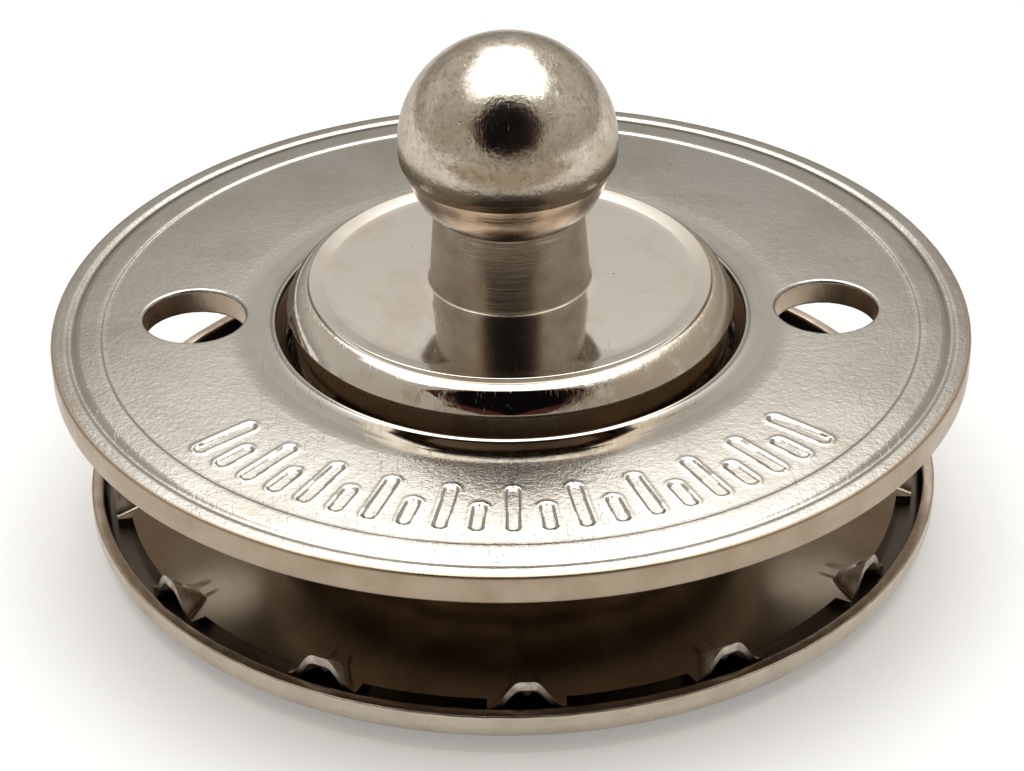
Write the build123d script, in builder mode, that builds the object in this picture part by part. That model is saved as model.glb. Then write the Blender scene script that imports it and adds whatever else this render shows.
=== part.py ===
"""Ball stud fastener for cloth: a stud on a toothed base, and the ring nut that clamps the cloth to it.

Millimetres, +Z up. The origin is at the middle of the base's underside, on the axis of the stud.
"""
from build123d import *

import os

# Base cap: a shallow stamped dish, turned up round the toothed washer
cap_diameter = 20.8
cap_sheet = 0.30
cap_height = 1.14
cap_corner_radius = 0.45
cap_foot_rise = 0.37
cap_ledge_width = 1.25
cap_lip_chamfer = 0.06

# Toothed washer: lies on the cap's ledge, over the foot of the stud
washer_thickness = 0.25
washer_edge_gap = 0.60
tab_width = 1.76
tooth_count = 13
tooth_first_angle = -88.6
tooth_face_gap = 0.25
tooth_height = 0.72
tooth_width = 1.58
tooth_crown_width = 0.54
tooth_length = 0.80
tooth_tail_height = 0.08
tooth_tail_width = 0.60
tooth_wall = 0.16
tooth_crown_rounding = 0.30
tooth_pierce_diameter = 0.22

# Stud: foot, threaded barrel, polished flange, neck and ball, turned in one piece
barrel_diameter = 10.72
foot_overhang = 0.84
foot_side_gap = 0.40
barrel_top = 5.63
bevel_width = 0.58
flange_height = 0.70
flange_bulge = 0.08
flange_edge_chamfer = 0.06
neck_foot_diameter = 3.84
neck_foot_radius = 0.12
neck_top_diameter = 3.56
neck_height = 1.82
ball_diameter = 5.16
ball_rise = 3.51
ball_rim_drop = 0.37
ball_undercut = 0.10
collar_diameter = 4.92
collar_height = 0.22
waist_diameter = 4.72
waist_drop = 0.20
cone_diameter = 4.64
cone_drop = 0.14
cone_foot_diameter = 4.20
cone_foot_drop = 0.45

# Ring nut: a thick stamped disc with a threaded sleeve drawn down from its middle
nut_ring_width = 5.28
nut_thickness = 0.70
nut_top = 5.30
nut_depth = 2.30
nut_edge_chamfer = 0.07
thread_clearance = 0.05
sleeve_wall = 0.60
sleeve_root_chamfer = 0.20
sleeve_end_chamfer = 0.10
mouth_flare = 0.31
mouth_drop = 0.14
mouth_roll_width = 0.90
mouth_wall = 0.12
mouth_chamfer = 0.30
bead_width = 0.36
groove_width = 0.24
groove_depth = 0.07
band_width = 0.56
field_depth = 0.04
field_slope_width = 0.10
spanner_hole_diameter = 2.46
spanner_hole_inset = 0.315
spanner_hole_chamfer = 0.07

# Levels and radii that follow from the sizes above
cap_radius = cap_diameter / 2
cap_inner_radius = cap_radius - cap_sheet
cap_corner_top = cap_foot_rise + cap_corner_radius
ledge_radius = cap_radius - cap_corner_radius
ledge_inner_radius = ledge_radius - cap_ledge_width
washer_bottom = cap_foot_rise + cap_sheet
washer_top = washer_bottom + washer_thickness
barrel_radius = barrel_diameter / 2
bore_radius = barrel_radius + thread_clearance
foot_radius = barrel_radius + foot_overhang
cap_foot_radius = foot_radius + foot_side_gap
flange_radius = barrel_radius - bevel_width
flange_top = barrel_top + flange_height
mouth_radius = bore_radius + mouth_flare
nut_radius = mouth_radius + nut_ring_width
nut_under = nut_top - nut_thickness
nut_bottom = nut_top - nut_depth

os.makedirs("parts", exist_ok=True)

# Base cap: flat in the middle where it stands, a cone up to the ledge, then the turned-up rim
with BuildPart() as base_cap:
    with BuildSketch(Plane.XZ):
        with BuildLine():
            Polyline(
                (0, 0),
                (cap_foot_radius, 0),
                (ledge_inner_radius, cap_foot_rise),
                (ledge_radius, cap_foot_rise),
            )
            CenterArc((ledge_radius, cap_corner_top), cap_corner_radius, -90, 90)
            Polyline(
                (cap_radius, cap_corner_top),
                (cap_radius, cap_height),
                (cap_inner_radius, cap_height),
                (cap_inner_radius, cap_corner_top),
                (ledge_radius, washer_bottom),
                (ledge_inner_radius, washer_bottom),
                (cap_foot_radius, cap_sheet),
                (0, cap_sheet),
                (0, 0),
            )
        make_face()
    revolve(axis=Axis.Z)
    rim_edges = edges().filter_by(GeomType.CIRCLE).group_by(Axis.Z)[-1]
    chamfer(rim_edges, cap_lip_chamfer)

# Toothed washer: a flat ring with a tab under each tooth, reaching out to the cap's rim.
# Each tooth is a hood raised from its tab, open outwards and tapering to nothing inwards.
washer_edge_radius = cap_inner_radius - washer_edge_gap
tab_radius = ledge_radius
tooth_face_radius = cap_inner_radius - tooth_face_gap
tooth_tail_radius = tooth_face_radius - tooth_length
tail_scale = tooth_tail_width / tooth_width

# Outside of the hood: its open face, then its tail
hood_sections = [
    (tooth_face_radius, tooth_width, tooth_crown_width, tooth_height),
    (tooth_tail_radius, tooth_tail_width, tooth_crown_width * tail_scale, tooth_tail_height),
]
# Its hollow: one wall smaller all round, open through the ring below it
hollow_width = tooth_width - 2 * tooth_wall
hollow_crown_width = tooth_crown_width - tooth_wall
hollow_height = tooth_height - tooth_wall
hollow_tail_radius = tooth_tail_radius + 2 * tooth_wall
hollow_sections = [
    (tooth_face_radius, hollow_width, hollow_crown_width, hollow_height),
    (hollow_tail_radius, tooth_tail_width, hollow_crown_width * tail_scale, tooth_tail_height / 2),
]

with BuildPart() as hood:
    for radius, width, crown, height in hood_sections:
        with BuildSketch(Plane(origin=(radius, 0, washer_top), x_dir=(0, 1, 0), z_dir=(1, 0, 0))):
            with BuildLine():
                Polyline((-width / 2, 0), (-crown / 2, height), (crown / 2, height), (width / 2, 0), close=True)
            make_face()
            fillet(vertices().group_by(Axis.Y)[-1], height * tooth_crown_rounding)
    loft(ruled=True)

with BuildPart() as hood_hollow:
    for radius, width, crown, height in hollow_sections:
        with BuildSketch(Plane(origin=(radius, 0, washer_top), x_dir=(0, 1, 0), z_dir=(1, 0, 0))):
            with BuildLine():
                Polyline(
                    (-width / 2, -washer_thickness),
                    (-width / 2, 0),
                    (-crown / 2, height),
                    (crown / 2, height),
                    (width / 2, 0),
                    (width / 2, -washer_thickness),
                    close=True,
                )
            make_face()
    loft(ruled=True)

tooth_places = PolarLocations(0, tooth_count, start_angle=tooth_first_angle)

with BuildPart() as prong_washer:
    with BuildSketch(Plane.XY.offset(washer_bottom)):
        Circle(washer_edge_radius)
        with PolarLocations(tab_radius / 2, tooth_count, start_angle=tooth_first_angle):
            Rectangle(tab_radius, tab_width)
        Circle(tab_radius, mode=Mode.INTERSECT)
        Circle(bore_radius, mode=Mode.SUBTRACT)
    extrude(amount=washer_thickness)
    with tooth_places:
        add(hood.part)
    with tooth_places:
        add(hood_hollow.part, mode=Mode.SUBTRACT)
    pierce_centre_radius = tooth_face_radius - tooth_pierce_diameter
    with PolarLocations(pierce_centre_radius, tooth_count, start_angle=tooth_first_angle):
        with Locations((0, 0, washer_top)):
            Cylinder(
                tooth_pierce_diameter / 2,
                2 * tooth_height,
                align=(Align.CENTER, Align.CENTER, Align.MIN),
                mode=Mode.SUBTRACT,
            )

# Stud: one profile from the foot under the washer to the top of the ball
ball_radius = ball_diameter / 2
ball_centre = flange_top + ball_rise
ball_rim_level = ball_centre - ball_rim_drop
ball_rim_radius = (ball_radius**2 - ball_rim_drop**2) ** 0.5
collar_level = ball_rim_level - collar_height
waist_level = collar_level - waist_drop
cone_level = waist_level - cone_drop
cone_foot_level = cone_level - cone_foot_drop
neck_top = flange_top + neck_height

with BuildPart() as ball_stud:
    with BuildSketch(Plane.XZ):
        with BuildLine():
            Polyline(
                (0, cap_sheet),
                (foot_radius, cap_sheet),
                (foot_radius, washer_bottom),
                (barrel_radius, washer_bottom),
                (barrel_radius, barrel_top),
            )
            SagittaArc(
                (barrel_radius, barrel_top),
                (flange_radius, flange_top),
                -flange_bulge,
            )
            Polyline(
                (flange_radius, flange_top),
                (neck_foot_diameter / 2, flange_top),
                (neck_top_diameter / 2, neck_top),
                (cone_foot_diameter / 2, cone_foot_level),
                (cone_diameter / 2, cone_level),
                (waist_diameter / 2, waist_level),
                (collar_diameter / 2, collar_level),
                (collar_diameter / 2 - ball_undercut / 2, ball_rim_level - ball_undercut),
                (ball_rim_radius, ball_rim_level),
            )
            RadiusArc(
                (ball_rim_radius, ball_rim_level),
                (0, ball_centre + ball_radius),
                -ball_radius,
            )
            Line((0, ball_centre + ball_radius), (0, cap_sheet))
        make_face()
    revolve(axis=Axis.Z)
    flange_edge = edges().filter_by(GeomType.CIRCLE).filter_by(
        lambda e: abs(e.radius - flange_radius) < 1e-3 and abs(e.center().Z - flange_top) < 1e-3
    )
    chamfer(flange_edge, flange_edge_chamfer)
    neck_foot_edge = edges().filter_by(GeomType.CIRCLE).filter_by(
        lambda e: abs(e.radius - neck_foot_diameter / 2) < 1e-3 and abs(e.center().Z - flange_top) < 1e-3
    )
    fillet(neck_foot_edge, neck_foot_radius)

# Ring nut: the disc's top is a flat field, a raised band, a groove and a bead at the rim
bead_inner_radius = nut_radius - bead_width
band_outer_radius = bead_inner_radius - groove_width
band_inner_radius = band_outer_radius - band_width
field_radius = band_inner_radius - field_slope_width
field_level = nut_top - field_depth
mouth_level = field_level - mouth_drop
chamfer_top = mouth_level - mouth_wall
chamfer_bottom = chamfer_top - mouth_chamfer
sleeve_radius = bore_radius + sleeve_wall

with BuildPart() as ring_nut:
    with BuildSketch(Plane.XZ):
        with BuildLine():
            Polyline(
                (bore_radius, chamfer_bottom),
                (bore_radius, nut_bottom),
                (sleeve_radius, nut_bottom),
                (sleeve_radius, nut_under),
                (nut_radius, nut_under),
                (nut_radius, nut_top),
                (bead_inner_radius, nut_top),
                (bead_inner_radius - groove_width / 2, nut_top - groove_depth),
                (band_outer_radius, nut_top),
                (band_inner_radius, nut_top),
                (field_radius, field_level),
                (mouth_radius + mouth_roll_width, field_level),
            )
            TangentArc(
                (mouth_radius + mouth_roll_width, field_level),
                (mouth_radius, mouth_level),
                tangent=(-1, 0),
            )
            Polyline(
                (mouth_radius, mouth_level),
                (mouth_radius, chamfer_top),
                (bore_radius, chamfer_bottom),
            )
        make_face()
    revolve(axis=Axis.Z)
    nut_edges = edges().filter_by(GeomType.CIRCLE).filter_by(lambda e: abs(e.radius - nut_radius) < 1e-3)
    chamfer(nut_edges, nut_edge_chamfer)
    sleeve_root = edges().filter_by(GeomType.CIRCLE).filter_by(
        lambda e: abs(e.radius - sleeve_radius) < 1e-3 and abs(e.center().Z - nut_under) < 1e-3
    )
    chamfer(sleeve_root, sleeve_root_chamfer)
    sleeve_end = edges().filter_by(GeomType.CIRCLE).group_by(Axis.Z)[0]
    chamfer(sleeve_end, sleeve_end_chamfer)
    spanner_hole_place = (sleeve_radius + band_inner_radius) / 2 - spanner_hole_inset
    with PolarLocations(spanner_hole_place, 2):
        Hole(spanner_hole_diameter / 2)
    hole_edges = edges().filter_by(GeomType.CIRCLE).filter_by(
        lambda e: abs(e.radius - spanner_hole_diameter / 2) < 1e-3 and e.center().Z > nut_under + field_depth
    )
    chamfer(hole_edges, spanner_hole_chamfer)

base_cap.part.label = "base_cap"
prong_washer.part.label = "prong_washer"
ball_stud.part.label = "ball_stud"
ring_nut.part.label = "ring_nut"

for piece in (base_cap, prong_washer, ball_stud, ring_nut):
    export_step(piece.part, f"parts/{piece.part.label}.step")
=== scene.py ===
"""Looks of a ball stud fastener for cloth: stud, toothed base and ring nut in worn nickel plate.

Sizes in this script are millimetres, and MM turns them into the frame's metres.
"""

import math

import bmesh
import bpy
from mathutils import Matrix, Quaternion, Vector, noise


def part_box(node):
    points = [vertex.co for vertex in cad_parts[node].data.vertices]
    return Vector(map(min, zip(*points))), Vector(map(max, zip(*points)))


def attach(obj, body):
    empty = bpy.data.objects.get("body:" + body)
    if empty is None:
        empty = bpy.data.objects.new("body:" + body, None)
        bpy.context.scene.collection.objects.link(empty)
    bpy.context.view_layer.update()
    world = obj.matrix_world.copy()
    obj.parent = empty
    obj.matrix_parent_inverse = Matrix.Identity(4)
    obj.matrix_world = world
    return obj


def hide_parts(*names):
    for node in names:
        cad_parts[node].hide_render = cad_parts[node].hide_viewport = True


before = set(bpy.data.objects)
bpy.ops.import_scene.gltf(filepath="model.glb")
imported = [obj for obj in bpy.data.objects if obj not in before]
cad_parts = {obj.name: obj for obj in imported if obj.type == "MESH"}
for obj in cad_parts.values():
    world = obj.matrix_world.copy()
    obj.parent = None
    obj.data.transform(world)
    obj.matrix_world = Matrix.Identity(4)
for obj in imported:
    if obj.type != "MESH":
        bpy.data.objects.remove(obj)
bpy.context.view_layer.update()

MM = 0.001
FULL_TURN = 2 * math.pi


def node_box(node):
    """Lowest and highest corner of a CAD node, in millimetres."""
    low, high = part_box(node)
    return low / MM, high / MM


stud_high = node_box("ball_stud")[1]
cap_high = node_box("base_cap")[1]
nut_low, nut_high = node_box("ring_nut")

# Ring nut
NUT_RADIUS = nut_high.x
NUT_TOP = nut_high.z
NUT_BOTTOM = nut_low.z
NUT_THICKNESS = 0.70
NUT_EDGE_RADIUS = 0.08
BEAD_WIDTH = 0.36
GROOVE_WIDTH = 0.24
GROOVE_DEPTH = 0.045
BAND_WIDTH = 0.56
BAND_SLOPE_WIDTH = 0.10
FIELD_DEPTH = 0.04
MOUTH_RADIUS = 5.69
MOUTH_ROLL_WIDTH = 0.90
MOUTH_BURR_FLAT = 0.02
MOUTH_BURR_WIDTH = 0.08
MOUTH_EDGE_RADIUS = 0.05
MOUTH_WALL = 0.12
MOUTH_CHAMFER = 0.30
BORE_RADIUS = 5.41
SLEEVE_WALL = 0.60
SLEEVE_ROOT_RADIUS = 0.30
SLEEVE_END_CHAMFER = 0.10
SLEEVE_THREAD_RUN = 0.1
SPANNER_HOLE_RADIUS = 1.23
SPANNER_HOLE_PLACE = 7.61
SPANNER_HOLE_ROUNDING = 0.08
SPANNER_HOLE_INNER_MARGIN = 0.30
SPANNER_HOLE_OUTER_MARGIN = 0.55

# Stud
STUD_FOOT_RADIUS = 6.2
BARREL_RADIUS = 5.36
BARREL_TOP = 5.63
FLANGE_RADIUS = 4.78
FLANGE_HEIGHT = 0.70
FLANGE_SINK = 0.075
BEVEL_NORMALS = (math.radians(29), math.radians(85))
BEVEL_FOOT_ROUNDING = 0.035
STEP_FOOT_OUT = 0.07
STEP_FOOT_DROP = 0.115
STEP_TOP_OUT = 0.055
STEP_TOP_DROP = 0.110
LIP_ROUNDING = 0.035
LIP_DROP = 0.045
LIP_SLOPE_WIDTH = 0.36
NECK_FILLET = 0.06
NECK_FOOT_RADIUS = 1.92
NECK_TOP_RADIUS = 1.78
NECK_HEIGHT = 1.82
BALL_RADIUS = 2.58
BALL_RIM_DROP = 0.37
THREAD_PITCH = 0.80
THREAD_DEPTH = 0.36
THREAD_START = 0.35
THREAD_RUN_IN = 0.2
THREAD_RUN_OUT = 0.5
THREAD_FREE_END = 0.9
UNDERCUT_LENGTH = 1.3
UNDERCUT_SLOPE = 0.5
UNDERCUT_STEP = 0.10
UNDERCUT_DEPTH = 0.14

# Steps of the collar under the ball: radius, and how far below the ball's rim
COLLAR_STEPS = [(2.10, 1.01), (2.32, 0.56), (2.36, 0.42), (2.46, 0.22), (2.41, 0.10)]

# Base cap and toothed washer
CAP_RADIUS = cap_high.x
CAP_HEIGHT = cap_high.z
CAP_SHEET = 0.30
CAP_CORNER_RADIUS = 0.45
CAP_FOOT_RADIUS = 6.6
CAP_FOOT_RISE = 0.37
CAP_LEDGE_WIDTH = 1.25
CAP_LIP_RADIUS = 0.06
CAP_BURR_BAND = 0.09
CAP_BURR_DEPTH = 0.02
CAP_BURR_COARSE = 0.35
CAP_BURR_FINE = 0.12
WASHER_THICKNESS = 0.25
WASHER_EDGE_RADIUS = 9.50
TOOTH_COUNT = 13
TOOTH_FIRST_ANGLE = math.radians(-88.6)
TAB_HALF_WIDTH = 0.88
TOOTH_HALF_WIDTH = 0.78
TOOTH_TAIL_HALF_WIDTH = 0.30
TOOTH_CROWN_HALF_WIDTH = 0.20
TOOTH_HEIGHT = 0.72
TOOTH_LENGTH = 0.80
TOOTH_FACE_RADIUS = 9.85
TOOTH_WALL = 0.20
TOOTH_DIMPLE_INSET = 0.24
TOOTH_DIMPLE_RADIUS = 0.10
TOOTH_DIMPLE_DEPTH = 0.16

# Places that follow
FIELD_LEVEL = NUT_TOP - FIELD_DEPTH
NUT_UNDER = NUT_TOP - NUT_THICKNESS
BEAD_INNER = NUT_RADIUS - BEAD_WIDTH
BAND_OUTER = BEAD_INNER - GROOVE_WIDTH
BAND_INNER = BAND_OUTER - BAND_WIDTH
ROLL_END = MOUTH_RADIUS + MOUTH_ROLL_WIDTH
WASHER_BOTTOM = CAP_FOOT_RISE + CAP_SHEET
WASHER_TOP = WASHER_BOTTOM + WASHER_THICKNESS
FLANGE_TOP = BARREL_TOP + FLANGE_HEIGHT
FLAT_LEVEL = FLANGE_TOP - FLANGE_SINK
BALL_CENTRE = stud_high.z - BALL_RADIUS
TOOTH_TAIL_RADIUS = TOOTH_FACE_RADIUS - TOOTH_LENGTH
TOOTH_SECTOR = FULL_TURN / TOOTH_COUNT

# Plain graduation marks pressed into the front of the nut's top
MARK_SPACING = math.radians(5)
MARK_COUNT_ASIDE = 10
MARK_OUTER = 9.10
MARK_LONG_INNER = 7.75
MARK_SHORT_INNER = 8.40
MARK_HALF_WIDTH = 0.11
MARK_WALL = 0.06
MARK_DEPTH = 0.04
MARK_LIP = 0.014
MARK_LIP_PLACE = 0.03
MARK_LIP_WIDTH = 0.05
MARK_FIELD = (7.40, 9.44)

# Fineness of the meshes. The window is how many columns a spanner hole takes to each side.
LATHE_SEGMENTS = 384
HOLE_WINDOW = 14
BEVEL_STEPS = 30
TAB_COLUMNS = 30
SLOT_COLUMNS = 12


class Shell:
    """A mesh under construction: points in millimetres, and faces with the number of their material."""

    def __init__(self):
        self.points = []
        self.faces = []
        self.finishes = []

    def point(self, x, y, z):
        self.points.append((x * MM, y * MM, z * MM))
        return len(self.points) - 1

    def face(self, corners, finish):
        self.faces.append(corners)
        self.finishes.append(finish)

    def ring(self, radius, height, angles, warp=None):
        """A circle of points round Z, or a single point on the axis."""
        if radius < 1e-6:
            return [self.point(0, 0, height)]
        places = []
        for angle in angles:
            r, z = warp(radius, height, angle) if warp else (radius, height)
            places.append(self.point(r * math.cos(angle), r * math.sin(angle), z))
        return places

    def bridge(self, lower, upper, finish):
        """Faces between two rings of points, either of which may be a single point."""
        count = max(len(lower), len(upper))
        for k in range(count):
            n = (k + 1) % count
            if len(lower) == 1:
                self.face((lower[0], upper[n], upper[k]), finish)
            elif len(upper) == 1:
                self.face((lower[k], lower[n], upper[0]), finish)
            else:
                self.face((lower[k], lower[n], upper[n], upper[k]), finish)

    def build(self, name, materials, sharp_degrees=35):
        """The finished object, shaded smooth but for its sharp edges."""
        mesh = bpy.data.meshes.new(name)
        mesh.from_pydata(self.points, [], self.faces)
        for material in materials:
            mesh.materials.append(material)
        mesh.polygons.foreach_set("material_index", self.finishes)
        mesh.polygons.foreach_set("use_smooth", [True] * len(self.faces))
        mesh.set_sharp_from_angle(angle=math.radians(sharp_degrees))
        piece = bpy.data.objects.new(name, mesh)
        bpy.context.scene.collection.objects.link(piece)
        evener = piece.modifiers.new("even_normals", "WEIGHTED_NORMAL")
        evener.keep_sharp = True
        return piece


def arc(centre, radius, start, end, steps):
    """Points along an arc of a profile; angles in degrees, from the outward direction towards up."""
    turns = [math.radians(start + (end - start) * k / steps) for k in range(steps + 1)]
    return [(centre[0] + radius * math.cos(t), centre[1] + radius * math.sin(t)) for t in turns]


def straight(first, last, steps):
    """Points on the way from first to last, without first itself."""
    dx, dz = last[0] - first[0], last[1] - first[1]
    return [(first[0] + dx * k / steps, first[1] + dz * k / steps) for k in range(1, steps + 1)]


def smooth(t):
    """0 to 1 with level ends."""
    t = min(1.0, max(0.0, t))
    return t * t * (3 - 2 * t)


def ramble(x, y, z, size):
    """Smooth noise from about -1 to 1, with features of the given size in millimetres."""
    return noise.noise(Vector((x, y, z)) / size)


def thread_cut(height, angle):
    """How deep the thread's groove is at a place, from 0 at its crest to 1 at its root."""
    phase = (height / THREAD_PITCH - angle / FULL_TURN) % 1.0
    return smooth(1.35 * (0.5 - 0.5 * math.cos(FULL_TURN * phase)) - 0.1)


def turn_steps(parts):
    """Angles round Z. parts is a list of (from, to, steps) in degrees, each going on from the last."""
    angles = []
    for start, end, steps in parts:
        angles += [math.radians(start + (end - start) * k / steps) for k in range(steps)]
    return angles


EVEN_TURN = turn_steps([(0, 360, LATHE_SEGMENTS)])

# The nut's columns crowd where the marks are, and a column runs through the middle of each spanner hole
NUT_TURN = turn_steps([(0, 180, 184), (180, 217, 37), (217, 323, 380), (323, 360, 37)])
HOLE_COLUMNS = (0, 184)


def follow(shell, last, profile, finish, warp=None, angles=NUT_TURN):
    """Goes on from a ring through the rings of a profile. Returns the last ring."""
    for radius, height in profile:
        ring = shell.ring(radius, height, angles, warp)
        shell.bridge(last, ring, finish)
        last = ring
    return last


def revolve(shell, runs, warp=None):
    """Turns a profile round Z. runs is a list of (finish, points) that follow one another."""
    start = runs[0][1][0]
    last = shell.ring(*start, EVEN_TURN, warp)
    for number, (finish, points) in enumerate(runs):
        last = follow(shell, last, points if number else points[1:], finish, warp, EVEN_TURN)


# Materials


def add_math(tree, operation, first, second=None):
    """Output of a math node on sockets or numbers."""
    node = tree.nodes.new("ShaderNodeMath")
    node.operation = operation
    for socket, value in zip(node.inputs, (first, second)):
        if isinstance(value, (int, float)):
            socket.default_value = value
        elif value is not None:
            tree.links.new(value, socket)
    return node.outputs[0]


def add_range(tree, value, low, high, to_low=0.0, to_high=1.0, curve="LINEAR"):
    """value from low..high spread over to_low..to_high, and held there outside."""
    node = tree.nodes.new("ShaderNodeMapRange")
    node.interpolation_type = curve
    limits = {"From Min": low, "From Max": high, "To Min": to_low, "To Max": to_high}
    for name, limit in limits.items():
        node.inputs[name].default_value = limit
    tree.links.new(value, node.inputs["Value"])
    return node.outputs["Result"]


class Finish:
    """Node builder for one metal finish. Lengths are in millimetres."""

    def __init__(self, name):
        self.material = bpy.data.materials.new(name)
        self.material.use_nodes = True
        self.tree = self.material.node_tree
        self.shader = self.tree.nodes["Principled BSDF"]
        coordinates = self.add("ShaderNodeTexCoord")
        mapping = self.add("ShaderNodeMapping")
        mapping.inputs["Scale"].default_value = (1 / MM,) * 3
        self.join(coordinates.outputs["Object"], mapping.inputs["Vector"])
        self.place = mapping.outputs["Vector"]
        self.bump_end = None

    def add(self, kind, **settings):
        node = self.tree.nodes.new(kind)
        for key, value in settings.items():
            setattr(node, key, value)
        return node

    def join(self, start, end):
        self.tree.links.new(start, end)

    def math(self, operation, first, second=None):
        return add_math(self.tree, operation, first, second)

    def spread(self, value, low, high, to_low=0.0, to_high=1.0):
        return add_range(self.tree, value, low, high, to_low, to_high)

    def axis(self, number, vector=None):
        """One component of a vector, or of the place itself: 0 for x, 1 for y, 2 for z."""
        parts = self.add("ShaderNodeSeparateXYZ")
        self.join(vector or self.place, parts.inputs[0])
        return parts.outputs[number]

    def polar_place(self, radial=1.0, around=1.0, along=1.0):
        """A vector of radius, arc length on the unit circle and height, each stretched."""
        parts = self.add("ShaderNodeSeparateXYZ")
        self.join(self.place, parts.inputs[0])
        x, y, z = parts.outputs
        squares = self.math("ADD", self.math("MULTIPLY", x, x), self.math("MULTIPLY", y, y))
        radius = self.math("SQRT", squares)
        angle = self.math("ARCTAN2", y, x)
        combined = self.add("ShaderNodeCombineXYZ")
        self.join(self.math("MULTIPLY", radius, radial), combined.inputs[0])
        self.join(self.math("MULTIPLY", angle, around), combined.inputs[1])
        self.join(self.math("MULTIPLY", z, along), combined.inputs[2])
        return combined.outputs[0]

    def noise(self, size, detail=2.0, roughness=0.5, distortion=0.0, place=None):
        node = self.add("ShaderNodeTexNoise")
        node.inputs["Scale"].default_value = 1 / size
        node.inputs["Detail"].default_value = detail
        node.inputs["Roughness"].default_value = roughness
        node.inputs["Distortion"].default_value = distortion
        self.join(place or self.place, node.inputs["Vector"])
        return node.outputs["Fac"]

    def cells(self, size):
        """Distance to the nearest of many scattered points, over the size of a cell."""
        node = self.add("ShaderNodeTexVoronoi", feature="F1")
        node.inputs["Scale"].default_value = 1 / size
        self.join(self.place, node.inputs["Vector"])
        return node.outputs["Distance"]

    def blend(self, factor, first, second):
        """Colour between two colours or sockets."""
        node = self.add("ShaderNodeMix", data_type="RGBA")
        self.join(factor, node.inputs["Factor"])
        for socket, value in ((node.inputs[6], first), (node.inputs[7], second)):
            if isinstance(value, tuple):
                socket.default_value = (*value, 1)
            else:
                self.join(value, socket)
        return node.outputs[2]

    def bump(self, height, depth):
        """Adds a bump layer whose full height is depth."""
        node = self.add("ShaderNodeBump")
        node.inputs["Strength"].default_value = 1.0
        node.inputs["Distance"].default_value = depth * MM
        self.join(height, node.inputs["Height"])
        if self.bump_end is not None:
            self.join(self.bump_end, node.inputs["Normal"])
        self.bump_end = node.outputs["Normal"]

    def scratches(self, size, stretch, tilt, threshold):
        """Thin hairlines along one slanting direction, in patches, 1 on a line and 0 beside it."""
        mapping = self.add("ShaderNodeMapping")
        mapping.inputs["Rotation"].default_value = tilt
        mapping.inputs["Scale"].default_value = (1, 1 / stretch, 1 / stretch)
        self.join(self.place, mapping.inputs["Vector"])
        value = self.noise(size, detail=1.0, distortion=0.4, place=mapping.outputs["Vector"])
        patch = self.spread(self.noise(0.9, place=mapping.outputs["Vector"]), 0.46, 0.60)
        return self.math("MULTIPLY", self.spread(value, threshold, threshold + 0.05), patch)

    def done(self, colour, roughness, glancing=(1, 1, 1)):
        """Joins colour and roughness, and returns the material. glancing tints grazing reflections."""
        self.shader.inputs["Metallic"].default_value = 1.0
        self.shader.inputs["Specular Tint"].default_value = (*glancing, 1)
        self.join(colour, self.shader.inputs["Base Color"])
        self.join(roughness, self.shader.inputs["Roughness"])
        if self.bump_end is not None:
            self.join(self.bump_end, self.shader.inputs["Normal"])
        return self.material


WORN_GLANCING = (0.62, 0.60, 0.58)
SATIN_GLANCING = (0.75, 0.73, 0.70)

# Painted shade: the ball's lower part is painted darker brown, fading out between these heights
BALL_SHADE_FADE = (9.75, 11.0)

# Bumps on the nut's top: it falls off outwards as a crown, and rolls into its mouth. The roll fades
# between these distances to the left and right of the middle.
CROWN_START = 6.6
CROWN_END = 11.1
CROWN_DROP = 0.38
ROLL_BUMP_WIDTH = 0.95
ROLL_BUMP_DROP = 0.135
ROLL_BUMP_FADE = (1.5, 2.9)

# Hairlines: width, length over width, direction, and how rare they are
HAIRLINES = [
    (0.035, 22, (0.3, 0.9, 0.5), 0.70),
    (0.030, 26, (1.1, -0.4, 2.0), 0.70),
    (0.026, 16, (0.6, 0.2, 1.1), 0.68),
    (0.026, 18, (-0.5, 0.8, 0.2), 0.68),
]


def polished_nickel(name):
    """Bright plate with turning marks, a little haze, hairlines and a few pits."""
    f = Finish(name)
    patches = f.noise(1.6, detail=4.0, roughness=0.6)
    pits = f.spread(f.cells(0.75), 0.03, 0.06, 1.0, 0.0)
    pits = f.math("MULTIPLY", pits, f.spread(f.noise(2.2), 0.50, 0.56))
    colour = f.blend(f.spread(patches, 0.50, 0.80), (0.62, 0.58, 0.525), (0.52, 0.46, 0.39))
    colour = f.blend(f.math("MULTIPLY", pits, 0.7), colour, (0.10, 0.07, 0.05))
    turning = f.noise(0.05, detail=2.0, place=f.polar_place(1.0, 0.35, 1.0))
    f.bump(turning, 0.0005)
    f.bump(f.noise(0.9, detail=2.0), 0.0016)
    f.bump(pits, -0.003)
    for line in HAIRLINES[:2]:
        f.bump(f.scratches(*line), -0.0010)
    return f.done(colour, f.spread(patches, 0.35, 0.75, 0.05, 0.13), WORN_GLANCING)


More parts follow.
